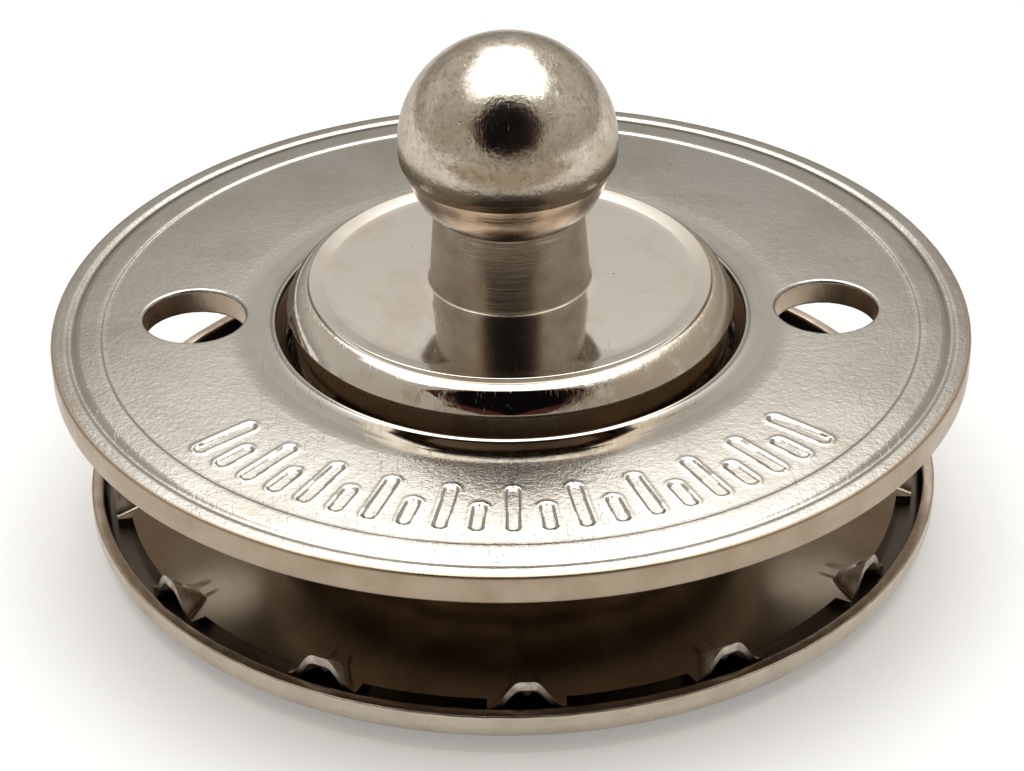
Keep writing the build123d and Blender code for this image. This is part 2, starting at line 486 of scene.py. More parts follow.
def ball_nickel(name):
    """The ball's plate: rubbed dull by use, mottled and pitted, with painted shade making it darker brown
    towards its rim.
    """
    f = Finish(name)
    patches = f.noise(1.1, detail=6.0, roughness=0.68)
    specks = f.noise(0.16, detail=4.0, roughness=0.7)
    pits = f.spread(f.cells(0.42), 0.05, 0.09, 1.0, 0.0)
    pits = f.math("MULTIPLY", pits, f.spread(f.noise(1.3), 0.50, 0.58))
    height = f.math("ADD", f.axis(2), f.math("MULTIPLY", patches, 0.9))
    colour = f.blend(f.spread(patches, 0.36, 0.62), (0.65, 0.61, 0.54), (0.47, 0.41, 0.335))
    colour = f.blend(f.math("MULTIPLY", f.spread(specks, 0.50, 0.66), 0.6), colour, (0.27, 0.225, 0.175))
    # Painted shade: darker brown towards the ball's rim, below the fade heights
    colour = f.blend(f.spread(height, *BALL_SHADE_FADE, 0.85, 0.0), colour, (0.36, 0.305, 0.235))
    colour = f.blend(f.math("MULTIPLY", pits, 0.75), colour, (0.11, 0.07, 0.045))
    f.bump(f.noise(0.24, detail=4.0, roughness=0.6), 0.0075)
    f.bump(f.noise(0.085, detail=3.0, roughness=0.6), 0.0036)
    f.bump(pits, -0.012)
    for line in HAIRLINES:
        f.bump(f.scratches(*line), -0.0022)
    return f.done(colour, f.spread(patches, 0.35, 0.70, 0.11, 0.21), WORN_GLANCING)


def collar_nickel(name):
    """The turned steps under the ball, where the plate has worn through to copper brown; the colour is also
    painted much darker as shade under the ball.
    """
    f = Finish(name)
    stains = f.noise(0.9, detail=5.0, roughness=0.65)
    turning = f.noise(0.05, detail=2.0, place=f.polar_place(1.0, 0.35, 1.0))
    # Painted shade: copper-brown plate made much darker for the shade under the ball
    colour = f.blend(f.spread(stains, 0.38, 0.66), (0.215, 0.16, 0.108), (0.125, 0.088, 0.057))
    f.bump(turning, 0.0035)
    f.bump(f.noise(0.3, detail=3.0), 0.004)
    return f.done(colour, f.spread(stains, 0.3, 0.7, 0.18, 0.30))


def bevel_nickel(name):
    """The flange's edge: bright plate with worn, hazy brown patches and small knocks."""
    f = Finish(name)
    worn = f.noise(0.75, detail=6.0, roughness=0.66)
    x = f.axis(0)
    aside = f.spread(f.math("ABSOLUTE", x), 1.0, 1.5)
    more = f.math("ADD", worn, f.math("MULTIPLY", x, 0.025))
    patch = f.math("MULTIPLY", f.spread(more, 0.45, 0.58), aside)
    knocks = f.noise(0.12, detail=3.0, roughness=0.6)
    colour = f.blend(patch, (0.60, 0.56, 0.50), (0.50, 0.435, 0.355))
    f.bump(f.math("MULTIPLY", knocks, patch), 0.007)
    f.bump(f.noise(0.35, detail=2.0), 0.0016)
    for line in HAIRLINES[:3]:
        f.bump(f.scratches(*line), -0.0014)
    return f.done(colour, f.spread(patch, 0.0, 1.0, 0.05, 0.24), WORN_GLANCING)


def neck_nickel(name):
    """The neck, turned but never polished: fine grooves round it smear what it mirrors up and down."""
    f = Finish(name)
    stains = f.noise(0.8, detail=5.0, roughness=0.6)
    coarse = f.noise(0.085, detail=2.0, place=f.polar_place(1.0, 0.12, 1.0))
    fine = f.noise(0.035, detail=2.0, place=f.polar_place(1.0, 0.06, 1.0))
    colour = f.blend(f.spread(stains, 0.40, 0.68), (0.55, 0.49, 0.42), (0.38, 0.315, 0.25))
    f.bump(coarse, 0.0042)
    f.bump(fine, 0.0025)
    f.bump(f.noise(0.3, detail=3.0), 0.0035)
    return f.done(colour, f.spread(stains, 0.3, 0.7, 0.20, 0.30))


def satin_nickel(name):
    """The ring nut's stamped top: sparkling grain, smoother round the mouth, with a bumped crown and roll."""
    f = Finish(name)
    stains = f.noise(2.4, detail=5.0, roughness=0.62)
    grain = f.noise(0.06, detail=2.0, roughness=0.65)
    peel = f.noise(0.26, detail=2.0, roughness=0.5)
    radius = f.axis(0, f.polar_place())
    away = f.spread(radius, MOUTH_RADIUS + 0.6, MOUTH_RADIUS + 1.1)
    colour = f.blend(f.spread(stains, 0.45, 0.72), (0.415, 0.395, 0.36), (0.36, 0.33, 0.287))
    rough = f.spread(grain, 0.3, 0.7, 0.17, 0.27)
    rough = f.math("MULTIPLY", rough, f.spread(away, 0.0, 1.0, 0.36, 1.0))
    crown = f.math("POWER", f.spread(radius, CROWN_START, CROWN_END), 1.4)
    roll = f.math("POWER", f.spread(radius, MOUTH_RADIUS, MOUTH_RADIUS + ROLL_BUMP_WIDTH, 1.0, 0.0), 2.0)
    roll_reach = f.spread(f.math("ABSOLUTE", f.axis(0)), *ROLL_BUMP_FADE, 1.0, 0.12)
    f.bump(crown, -CROWN_DROP)
    f.bump(f.math("MULTIPLY", roll, roll_reach), -ROLL_BUMP_DROP)
    f.bump(f.math("MULTIPLY", f.noise(3.2, detail=1.0), away), 0.03)
    f.bump(f.math("MULTIPLY", peel, away), 0.0042)
    f.bump(f.math("MULTIPLY", f.noise(0.12, detail=1.0), away), 0.0034)
    f.bump(f.math("MULTIPLY", grain, away), 0.0024)
    f.bump(f.scratches(0.05, 10, (0.0, 0.0, 0.6), 0.66), -0.0022)
    f.bump(f.scratches(0.04, 14, (0.0, 0.0, -0.8), 0.66), -0.0022)
    return f.done(colour, rough, SATIN_GLANCING)


def edge_nickel(name):
    """Cut edges: browner plate with an upright grain."""
    f = Finish(name)
    stains = f.noise(1.2, detail=4.0, roughness=0.6)
    grain = f.noise(0.06, detail=2.0, place=f.polar_place(1.0, 8.0, 0.25))
    colour = f.blend(f.spread(stains, 0.4, 0.7), (0.37, 0.30, 0.225), (0.32, 0.25, 0.18))
    f.bump(grain, 0.004)
    f.bump(f.noise(0.12, detail=3.0), 0.003)
    return f.done(colour, f.spread(stains, 0.3, 0.7, 0.26, 0.40))


def inner_nickel(name, light, dull, low=0.18, high=0.34, waves=0.008):
    """Hidden faces: thin brown plate with drawing marks, in the colours given, some of them darkened as
    painted shade. Roughness from low to high, waves deep.
    """
    f = Finish(name)
    stains = f.noise(1.8, detail=4.0, roughness=0.6)
    marks = f.noise(0.16, detail=3.0, place=f.polar_place(0.35, 6.0, 0.6))
    colour = f.blend(f.spread(stains, 0.4, 0.72), light, dull)
    f.bump(marks, 0.004)
    f.bump(f.noise(0.9, detail=2.0), waves)
    return f.done(colour, f.spread(stains, 0.3, 0.7, low, high))


def washer_nickel(name):
    """The toothed washer: smooth plate painted dark brown as shade under the nut, with painted light making
    the raised teeth pale; the teeth are also rubbed dull.
    """
    f = Finish(name)
    stains = f.noise(1.8, detail=4.0, roughness=0.6)
    raised = f.spread(f.axis(2), WASHER_TOP + 0.02, WASHER_TOP + 0.16)
    # Painted shade: the washer's plate is painted dark brown for the gap under the nut
    colour = f.blend(f.spread(stains, 0.4, 0.72), (0.245, 0.20, 0.155), (0.19, 0.15, 0.112))
    # Painted light: the raised teeth are painted pale, with a mottle
    tooth_mottle = f.spread(f.noise(0.3, detail=4.0), 0.42, 0.62)
    tooth_painted_light = f.blend(tooth_mottle, (0.80, 0.75, 0.68), (0.50, 0.43, 0.35))
    colour = f.blend(raised, colour, tooth_painted_light)
    f.bump(f.noise(0.9, detail=2.0), 0.002)
    f.bump(f.math("MULTIPLY", f.noise(0.09, detail=3.0), raised), 0.006)
    return f.done(colour, f.spread(raised, 0.0, 1.0, 0.20, 0.50))


def dish_nickel(name):
    """The base cap's outside: pale satin plate, speckled and lightly rubbed."""
    f = Finish(name)
    stains = f.noise(1.0, detail=5.0, roughness=0.65)
    specks = f.spread(f.cells(0.30), 0.04, 0.10, 1.0, 0.0)
    colour = f.blend(f.spread(stains, 0.42, 0.7), (0.58, 0.52, 0.43), (0.49, 0.42, 0.34))
    colour = f.blend(f.math("MULTIPLY", specks, 0.5), colour, (0.20, 0.155, 0.115))
    f.bump(f.noise(0.14, detail=3.0), 0.005)
    f.bump(f.noise(0.8, detail=2.0), 0.010)
    f.bump(specks, -0.006)
    return f.done(colour, f.spread(stains, 0.3, 0.7, 0.26, 0.40))


FLOOR_GLOW = 0.22


def pale_floor():
    """White sweep. Its own glow only lifts what is seen of it to white, and the shadow stays."""
    material = bpy.data.materials.new("floor_white")
    material.use_nodes = True
    tree = material.node_tree
    shader = tree.nodes["Principled BSDF"]
    shader.inputs["Base Color"].default_value = (0.62, 0.617, 0.612, 1)
    shader.inputs["Roughness"].default_value = 0.9
    shader.inputs["Specular IOR Level"].default_value = 0.0
    shader.inputs["Emission Color"].default_value = (1, 1, 1, 1)
    path = tree.nodes.new("ShaderNodeLightPath").outputs
    seen = add_math(tree, "MAXIMUM", path["Is Camera Ray"], path["Is Glossy Ray"])
    seen = add_math(tree, "MAXIMUM", seen, path["Is Transmission Ray"])
    glow = add_math(tree, "MULTIPLY", seen, FLOOR_GLOW)
    tree.links.new(glow, shader.inputs["Emission Strength"])
    return material


# Pieces


def nut_level(radius):
    """Height of the ring nut's top at a radius, from the burr at its mouth to the bead."""
    if radius < ROLL_END:
        burr_end = MOUTH_RADIUS + MOUTH_BURR_FLAT
        return FIELD_LEVEL + FIELD_DEPTH * smooth(1 - (radius - burr_end) / MOUTH_BURR_WIDTH)
    if radius < BAND_INNER:
        slope = smooth((radius - BAND_INNER + BAND_SLOPE_WIDTH) / BAND_SLOPE_WIDTH)
        return FIELD_LEVEL + FIELD_DEPTH * slope
    if BAND_OUTER < radius < BEAD_INNER:
        across = (radius - BAND_OUTER) / GROOVE_WIDTH
        return NUT_TOP - GROOVE_DEPTH * math.sin(math.pi * across)
    return NUT_TOP


def nut_top_radii():
    """Radii of the top's rings, from the mouth outwards, close together where the top bends."""
    stretches = [
        (MOUTH_RADIUS + MOUTH_BURR_WIDTH + MOUTH_BURR_FLAT, 6),
        (ROLL_END, 4),
        (MARK_FIELD[0], 4),
        (MARK_FIELD[1], 48),
        (BAND_INNER - BAND_SLOPE_WIDTH, 3),
        (BAND_INNER, 6),
        (BAND_OUTER, 5),
        (BEAD_INNER, 8),
        (NUT_RADIUS - NUT_EDGE_RADIUS, 4),
    ]
    radii = [MOUTH_RADIUS]
    for end, steps in stretches:
        start = radii[-1]
        radii += [start + (end - start) * k / steps for k in range(1, steps + 1)]
    return radii


def mark_relief(radius, angle):
    """Height of the pressed marks' relief: grooves with slightly raised lips, long and short by turns."""
    aside = (angle + math.pi / 2 + math.pi) % FULL_TURN - math.pi
    number = round(aside / MARK_SPACING)
    if abs(number) > MARK_COUNT_ASIDE:
        return 0.0
    inner = MARK_SHORT_INNER if number % 2 else MARK_LONG_INNER
    across = (aside - number * MARK_SPACING) * radius
    along = max(0.0, radius - MARK_OUTER, inner - radius)
    distance = math.hypot(across, along)
    groove = smooth((MARK_HALF_WIDTH + MARK_WALL - distance) / MARK_WALL)
    lip_middle = MARK_HALF_WIDTH + MARK_WALL + MARK_LIP_PLACE
    lip = math.exp(-(((distance - lip_middle) / MARK_LIP_WIDTH) ** 2))
    return MARK_LIP * lip - MARK_DEPTH * groove


def window_columns(middle):
    """Columns of the lathe from one side of a spanner hole to the other."""
    return [(middle + k) % len(NUT_TURN) for k in range(-HOLE_WINDOW, HOLE_WINDOW + 1)]


def pierced_rings(shell, rings, radii, finish, low, high):
    """Joins rings, leaving a window round each spanner hole. Returns each window's outline of points."""
    first = min(k for k, r in enumerate(radii) if r > low)
    last = max(k for k, r in enumerate(radii) if r < high)
    columns_round = len(NUT_TURN)
    skipped = {(m + k) % columns_round for m in HOLE_COLUMNS for k in range(-HOLE_WINDOW, HOLE_WINDOW)}
    for k in range(len(rings) - 1):
        for column in range(columns_round):
            if first <= k < last and column in skipped:
                continue
            n = (column + 1) % columns_round
            shell.face((rings[k][column], rings[k][n], rings[k + 1][n], rings[k + 1][column]), finish)
    outlines = []
    for middle in HOLE_COLUMNS:
        columns = window_columns(middle)
        outline = [rings[first][c] for c in columns]
        outline += [rings[k][columns[-1]] for k in range(first + 1, last)]
        outline += [rings[last][c] for c in reversed(columns)]
        outline += [rings[k][columns[0]] for k in range(last - 1, first, -1)]
        outlines.append(outline)
    return outlines


def hole_loops(shell, outline, centre_x, level, finish, rounding_up):
    """Rings of faces from a window's outline in to the rounded edge of its hole. Returns the last ring."""
    edge_radius = SPANNER_HOLE_RADIUS + SPANNER_HOLE_ROUNDING
    corners = [shell.points[k] for k in outline]
    angles = [math.atan2(y / MM, x / MM - centre_x) for x, y, z in corners]

    # Each ring: radius, how much of the window's outline is left in it, and how far it dips
    rings = [(edge_radius, share, 0.0) for share in (0.75, 0.5, 0.28, 0.12, 0.03, 0.0)]
    for degrees in range(15, 91, 15):
        turn = math.radians(degrees)
        radius = edge_radius - SPANNER_HOLE_ROUNDING * math.sin(turn)
        rings.append((radius, 0.0, rounding_up * SPANNER_HOLE_ROUNDING * (1 - math.cos(turn))))
    last = outline
    for radius, share, dip in rings:
        ring = []
        for (x, y, z), angle in zip(corners, angles):
            px = centre_x + radius * math.cos(angle)
            py = radius * math.sin(angle)
            px += (x / MM - px) * share
            py += (y / MM - py) * share
            ring.append(shell.point(px, py, level(math.hypot(px, py)) - dip))
        shell.bridge(last, ring, finish)
        last = ring
    return last


def join_loops(shell, upper, lower, centre_x, finish):
    """The wall between two rings round one centre whose points may not be abreast."""
    def angle_of(k):
        x, y, z = shell.points[k]
        return math.atan2(y / MM, x / MM - centre_x)

    a, b = sorted(upper, key=angle_of), sorted(lower, key=angle_of)
    i = j = 0
    while i < len(a) or j < len(b):
        next_a = angle_of(a[(i + 1) % len(a)]) + (FULL_TURN if i + 1 >= len(a) else 0)
        next_b = angle_of(b[(j + 1) % len(b)]) + (FULL_TURN if j + 1 >= len(b) else 0)
        if j >= len(b) or (i < len(a) and next_a <= next_b):
            shell.face((a[i % len(a)], a[(i + 1) % len(a)], b[j % len(b)]), finish)
            i += 1
        else:
            shell.face((a[i % len(a)], b[(j + 1) % len(b)], b[j % len(b)]), finish)
            j += 1


def nut_sleeve(shell, last, finish_top, finish_inside):
    """The sleeve: root, outside, chamfered end, then the thread up to the mouth. Returns the last ring."""
    outer = BORE_RADIUS + SLEEVE_WALL
    root_middle = (outer + SLEEVE_ROOT_RADIUS, NUT_UNDER - SLEEVE_ROOT_RADIUS)
    outside = arc(root_middle, SLEEVE_ROOT_RADIUS, 90, 180, 6)[1:]
    outside += [
        (outer, NUT_BOTTOM + SLEEVE_END_CHAMFER),
        (outer - SLEEVE_END_CHAMFER, NUT_BOTTOM),
        (BORE_RADIUS + SLEEVE_END_CHAMFER, NUT_BOTTOM),
    ]
    last = follow(shell, last, outside, finish_inside)

    mouth_level = nut_level(MOUTH_RADIUS)
    bore_top = mouth_level - MOUTH_WALL - MOUTH_CHAMFER
    bore_bottom = NUT_BOTTOM + SLEEVE_END_CHAMFER

    def cut_outwards(radius, height, angle):
        fade = smooth((height - bore_bottom) / SLEEVE_THREAD_RUN)
        fade *= smooth((bore_top - height) / SLEEVE_THREAD_RUN)
        return radius + fade * THREAD_DEPTH * thread_cut(height, angle), height

    rows = round((bore_top - bore_bottom) / THREAD_PITCH * 9)
    bore_start = (BORE_RADIUS, bore_bottom)
    bore = [bore_start] + straight(bore_start, (BORE_RADIUS, bore_top), rows)
    last = follow(shell, last, bore, finish_inside, cut_outwards)
    lip = [(MOUTH_RADIUS - MOUTH_EDGE_RADIUS, mouth_level - MOUTH_WALL)]
    lip += arc((MOUTH_RADIUS, mouth_level - MOUTH_EDGE_RADIUS), MOUTH_EDGE_RADIUS, 180, 100, 5)
    last = follow(shell, last, lip[:2], finish_inside)
    return follow(shell, last, lip[2:], finish_top)


def make_ring_nut(finishes):
    """Stamped disc with bead, groove and band, burred mouth, two spanner holes and a threaded sleeve."""
    shell = Shell()
    finish_top, finish_edge, finish_inside = range(3)
    hole_low = SPANNER_HOLE_PLACE - SPANNER_HOLE_RADIUS - SPANNER_HOLE_INNER_MARGIN
    hole_high = SPANNER_HOLE_PLACE + SPANNER_HOLE_RADIUS + SPANNER_HOLE_OUTER_MARGIN

    def marked(radius, height, angle):
        return radius, height + mark_relief(radius, angle)

    radii = nut_top_radii()
    low, high = MARK_FIELD
    top_rings = [shell.ring(r, nut_level(r), NUT_TURN, marked if low <= r <= high else None) for r in radii]
    top_outlines = pierced_rings(shell, top_rings, radii, finish_top, hole_low, hole_high)

    # Rounded outer edge, the upright wall and the lower corner
    corner = NUT_RADIUS - NUT_EDGE_RADIUS
    rim = arc((corner, NUT_TOP - NUT_EDGE_RADIUS), NUT_EDGE_RADIUS, 90, 0, 5)[1:]
    rim += arc((corner, NUT_UNDER + NUT_EDGE_RADIUS), NUT_EDGE_RADIUS, 0, -90, 4)
    last = follow(shell, top_rings[-1], rim, finish_edge)

    # Underside
    start = BORE_RADIUS + SLEEVE_WALL + SLEEVE_ROOT_RADIUS
    under_radii = [start + (corner - start) * k / 10 for k in range(11)]
    under_rings = [shell.ring(r, NUT_UNDER, NUT_TURN) for r in under_radii[:-1]] + [last]
    under_outlines = pierced_rings(shell, under_rings, under_radii, finish_inside, hole_low, hole_high)

    last = nut_sleeve(shell, under_rings[0], finish_top, finish_inside)
    shell.bridge(last, top_rings[0], finish_top)

    # Spanner holes
    centres = (SPANNER_HOLE_PLACE, -SPANNER_HOLE_PLACE)
    for outline, under, centre in zip(top_outlines, under_outlines, centres):
        upper = hole_loops(shell, outline, centre, nut_level, finish_top, 1)
        lower = hole_loops(shell, under, centre, lambda r: NUT_UNDER, finish_inside, -1)
        join_loops(shell, upper, lower, centre, finish_edge)
    return shell.build("nut_body", finishes)


def bevel_profile():
    """The flange's edge from the barrel up, in two parts: bulged bevel with a fine step, and raised lip."""
    foot_normal, top_normal = BEVEL_NORMALS
    last = (0.0, 0.0)
    shape = [last]
    for k in range(BEVEL_STEPS):
        normal = foot_normal + (top_normal - foot_normal) * ((k + 0.5) / BEVEL_STEPS) ** 2
        last = (last[0] - math.sin(normal), last[1] + math.cos(normal))
        shape.append(last)
    start = (BARREL_RADIUS, BARREL_TOP + BEVEL_FOOT_ROUNDING)
    end = (FLANGE_RADIUS + STEP_FOOT_OUT, FLANGE_TOP - STEP_FOOT_DROP)
    wide, high = (end[0] - start[0]) / last[0], (end[1] - start[1]) / last[1]
    foot_middle = (BARREL_RADIUS - BEVEL_FOOT_ROUNDING, BARREL_TOP + BEVEL_FOOT_ROUNDING)
    bevel = arc(foot_middle, BEVEL_FOOT_ROUNDING, -90, -5, 5)
    bevel += [(start[0] + x * wide, start[1] + z * high) for x, z in shape]
    bevel.append((FLANGE_RADIUS + STEP_TOP_OUT, FLANGE_TOP - STEP_TOP_DROP))
    lip = arc((FLANGE_RADIUS, FLANGE_TOP - LIP_DROP), LIP_ROUNDING, 22, 97, 6)
    slope_end = FLANGE_RADIUS - LIP_SLOPE_WIDTH
    lip += [(slope_end + 0.02, FLAT_LEVEL + 0.002), (slope_end, FLAT_LEVEL)]
    return bevel, lip


def barrel_profile(thread_foot):
    """The barrel from the washer up, in rows close enough for the thread."""
    rows = round((BARREL_TOP - thread_foot) / THREAD_PITCH * 14)
    barrel = [(BARREL_RADIUS, thread_foot + (BARREL_TOP - thread_foot) * k / rows) for k in range(rows)]
    return barrel + [(BARREL_RADIUS - UNDERCUT_DEPTH, BARREL_TOP)]


def make_stud(finishes):
    """Turned stud: foot, threaded barrel, flange with a bulged bevel, neck, stepped collar and ball."""
    shell = Shell()
    finish_bright, finish_ball, finish_dull, finish_collar, finish_bevel, finish_neck = range(6)
    thread_foot = WASHER_TOP + THREAD_START

    def thread(radius, height, angle):
        if abs(radius - BARREL_RADIUS) > 1e-4 or not thread_foot < height < BARREL_TOP:
            return radius, height
        fade = smooth((height - thread_foot) / THREAD_RUN_IN)
        fade *= smooth((BARREL_TOP - THREAD_FREE_END - height) / THREAD_RUN_OUT)
        undercut = smooth((BARREL_TOP - height) / UNDERCUT_STEP)
        undercut *= smooth((height - BARREL_TOP + UNDERCUT_LENGTH) / UNDERCUT_SLOPE)
        cut = fade * THREAD_DEPTH * thread_cut(height, angle) + UNDERCUT_DEPTH * undercut
        return radius - cut, height

    foot = [(0, CAP_SHEET), (STUD_FOOT_RADIUS, CAP_SHEET), (STUD_FOOT_RADIUS, WASHER_BOTTOM)]
    foot += [(BARREL_RADIUS, WASHER_BOTTOM)]
    bevel, lip = bevel_profile()
    flat = straight(lip[-1], (NECK_FOOT_RADIUS + NECK_FILLET, FLAT_LEVEL), 10)
    neck_start = (NECK_FOOT_RADIUS, FLAT_LEVEL + NECK_FILLET)
    neck = arc((NECK_FOOT_RADIUS + NECK_FILLET, FLAT_LEVEL + NECK_FILLET), NECK_FILLET, -90, -180, 6)[1:]
    neck += straight(neck_start, (NECK_TOP_RADIUS, FLANGE_TOP + NECK_HEIGHT), 8)
    rim_level = BALL_CENTRE - BALL_RIM_DROP
    collar = [(radius, rim_level - drop) for radius, drop in COLLAR_STEPS]
    rim_angle = -math.degrees(math.asin(BALL_RIM_DROP / BALL_RADIUS))
    globe = arc((0, BALL_CENTRE), BALL_RADIUS, rim_angle, 90, 64)
    globe[-1] = (0, BALL_CENTRE + BALL_RADIUS)
    runs = [
        (finish_dull, foot + barrel_profile(thread_foot)),
        (finish_bevel, bevel),
        (finish_bright, lip + flat),
        (finish_neck, neck),
        (finish_collar, collar),
        (finish_ball, globe),
    ]
    revolve(shell, runs, thread)
    return shell.build("stud_body", finishes)


def tooth_rise(radius, across):
    """Height of a tooth's hood above the washer, at a radius and a distance from its middle line."""
    along = (radius - TOOTH_TAIL_RADIUS) / TOOTH_LENGTH
    if along <= 0:
        return 0.0
    height = TOOTH_HEIGHT * min(1.0, along) ** 0.9
    half_width = TOOTH_TAIL_HALF_WIDTH + (TOOTH_HALF_WIDTH - TOOTH_TAIL_HALF_WIDTH) * along
    crown = TOOTH_CROWN_HALF_WIDTH * (0.4 + 0.6 * along)
    side = (half_width - abs(across)) / (half_width - crown)
    flank = smooth(0.5 + (side - 0.5) * 0.86) if side > 0 else 0.0
    dimple = math.hypot(radius - TOOTH_FACE_RADIUS + TOOTH_DIMPLE_INSET, across) / TOOTH_DIMPLE_RADIUS
    return height * flank - TOOTH_DIMPLE_DEPTH * math.exp(-dimple ** 2)


def washer_columns():
    """The washer's columns: across each tab by width, then round the slot to the next tab by share."""
    columns = []
    for tooth in range(TOOTH_COUNT):
        middle = TOOTH_FIRST_ANGLE + TOOTH_SECTOR * tooth
        widths = [TAB_HALF_WIDTH * (2 * k / TAB_COLUMNS - 1) for k in range(TAB_COLUMNS + 1)]
        columns += [(middle, width, None) for width in widths]
        columns += [(middle, None, k / SLOT_COLUMNS) for k in range(1, SLOT_COLUMNS)]
    return columns


def column_angle(column, radius):
    """Angle of a column at a radius. The sides of a tab run parallel."""
    middle, across, share = column
    if across is not None:
        return middle + math.asin(across / radius)
    reach = math.asin(TAB_HALF_WIDTH / radius)
    return middle + reach + (TOOTH_SECTOR - 2 * reach) * share


def make_washer(plate):
    """Flat ring with a tab under each tooth; each tooth is a hood raised from its tab, open outwards."""
    shell = Shell()
    flat_radii = [BORE_RADIUS, 5.9, 6.6, 7.3, 8.0, 8.6]
    radii = flat_radii + [TOOTH_TAIL_RADIUS + TOOTH_LENGTH * k / 16 for k in range(17)]
    ring_edge = min(k for k, r in enumerate(radii) if r > WASHER_EDGE_RADIUS - 0.01)
    columns = washer_columns()
    per_tooth = TAB_COLUMNS + SLOT_COLUMNS

    top, bottom = [], []
    for radius in radii:
        upper, lower = [], []
        for column in columns:
            angle = column_angle(column, radius)
            rise = tooth_rise(radius, column[1]) if column[1] is not None else 0.0
            x, y = radius * math.cos(angle), radius * math.sin(angle)
            upper.append(shell.point(x, y, WASHER_TOP + rise))
            wall = WASHER_THICKNESS + (TOOTH_WALL - WASHER_THICKNESS) * smooth(rise / 0.3)
            lower.append(shell.point(x, y, max(WASHER_BOTTOM, WASHER_TOP + max(0.0, rise) - wall * 1.1)))
        top.append(upper)
        bottom.append(lower)

    count = len(columns)
    held = {
        (k, c)
        for k in range(len(radii) - 1)
        for c in range(count)
        if k < ring_edge or c % per_tooth < TAB_COLUMNS
    }
    for k, c in held:
        n = (c + 1) % count
        shell.face((top[k][c], top[k][n], top[k + 1][n], top[k + 1][c]), 0)
        shell.face((bottom[k][c], bottom[k + 1][c], bottom[k + 1][n], bottom[k][n]), 0)
        sides = (
            ((k, (c - 1) % count), (k, c), (k + 1, c)),
            ((k, n), (k, n), (k + 1, n)),
            ((k - 1, c), (k, c), (k, n)),
            ((k + 1, c), (k + 1, c), (k + 1, n)),
        )
        for neighbour, a, b in sides:
            if neighbour not in held:
                corners = (top[a[0]][a[1]], top[b[0]][b[1]], bottom[b[0]][b[1]], bottom[a[0]][a[1]])
                shell.face(corners, 0)
    return shell.build("washer_body", [plate])


def make_cap(finishes):
    """Stamped dish: foot, cone, ledge and turned-up rim with a burred lip."""
    shell = Shell()
    finish_outside, finish_inside, finish_lip = range(3)
    ledge_radius = CAP_RADIUS - CAP_CORNER_RADIUS
    ledge_inner = ledge_radius - CAP_LEDGE_WIDTH
    corner_level = CAP_FOOT_RISE + CAP_CORNER_RADIUS
    inner_radius = CAP_RADIUS - CAP_SHEET

    def burr(radius, height, angle):
        if height < CAP_HEIGHT - CAP_BURR_BAND:
            return radius, height
        x, y = radius * math.cos(angle), radius * math.sin(angle)
        chatter = 0.6 * ramble(x, y, 3.1, CAP_BURR_COARSE) + 0.4 * ramble(x, y, 7.7, CAP_BURR_FINE)
        return radius, height - CAP_BURR_DEPTH + CAP_BURR_DEPTH * chatter

    under = [(0, 0), (CAP_FOOT_RADIUS, 0), (ledge_inner, CAP_FOOT_RISE)]
    corner = arc((ledge_radius, corner_level), CAP_CORNER_RADIUS, -90, 0, 10)
    lip_out = arc((CAP_RADIUS - CAP_LIP_RADIUS, CAP_HEIGHT - CAP_LIP_RADIUS), CAP_LIP_RADIUS, 0, 90, 5)
    lip_in = arc((inner_radius + CAP_LIP_RADIUS, CAP_HEIGHT - CAP_LIP_RADIUS), CAP_LIP_RADIUS, 90, 180, 5)
    inner_corner = arc((ledge_radius, corner_level), CAP_CORNER_RADIUS - CAP_SHEET, 0, -90, 6)
    floor = [(ledge_inner, WASHER_BOTTOM), (CAP_FOOT_RADIUS, CAP_SHEET), (0, CAP_SHEET)]
    wall = [(CAP_RADIUS, corner_level + 0.02), (CAP_RADIUS, CAP_HEIGHT - CAP_LIP_RADIUS - 0.04)]
    runs = [
        (finish_outside, under + corner + wall + lip_out[:3]),
        (finish_lip, lip_out[3:] + lip_in[:4]),
        (finish_inside, lip_in[4:] + inner_corner + floor),
    ]
    revolve(shell, runs, burr)
    return shell.build("cap_body", finishes)


def place_piece(piece, body, node):
    """Puts a piece on its body, in the place of its node, and hides the node."""
    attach(piece, body)
    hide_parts(node)


def tidy_normals(piece):
    """Turns every face outwards."""
    mesh = bmesh.new()
    mesh.from_mesh(piece.data)
    bmesh.ops.recalc_face_normals(mesh, faces=mesh.faces)
    mesh.to_mesh(piece.data)
    mesh.free()


# Studio

# Radiance round the object, from the front horizon (0 degrees) over the top to the back one (180)
SKY_PEAK = 4.0
SKY_OVERHEAD = [
    (0, (0.42, 0.37, 0.31)),
    (74, (0.64, 0.60, 0.54)),
    (79, (4.0, 4.0, 3.95)),
    (132, (4.0, 4.0, 3.95)),
    (137, (2.6, 2.58, 2.52)),
    (142, (1.55, 1.52, 1.45)),
    (146.5, (1.08, 1.04, 0.98)),
    (150, (0.90, 0.86, 0.81)),
    (160, (0.70, 0.68, 0.64)),
    (180, (0.50, 0.48, 0.45)),
]
SKY_SIDES = [
    (0, (0.56, 0.505, 0.43)),
    (60, (0.62, 0.575, 0.51)),
    (90, (0.66, 0.62, 0.56)),
    (145, (0.70, 0.66, 0.60)),
    (180, (0.46, 0.43, 0.39)),
]

# The overhead box ends between these shares of the way to the side, and narrows towards the back
SKY_CORE = 0.40
SKY_REACH = 0.64
SKY_TAPER = 2.1
SKY_TAPER_START = 112
SKY_TAPER_END = 138

CAMERA_DISTANCE = 69.80
CAMERA_ELEVATION = math.radians(32.01)
CAMERA_AIM = (0.011, 0.0, NUT_TOP - 2.163)
CAMERA_ROLL = math.radians(0.866)
CAMERA_LENS = 100.2

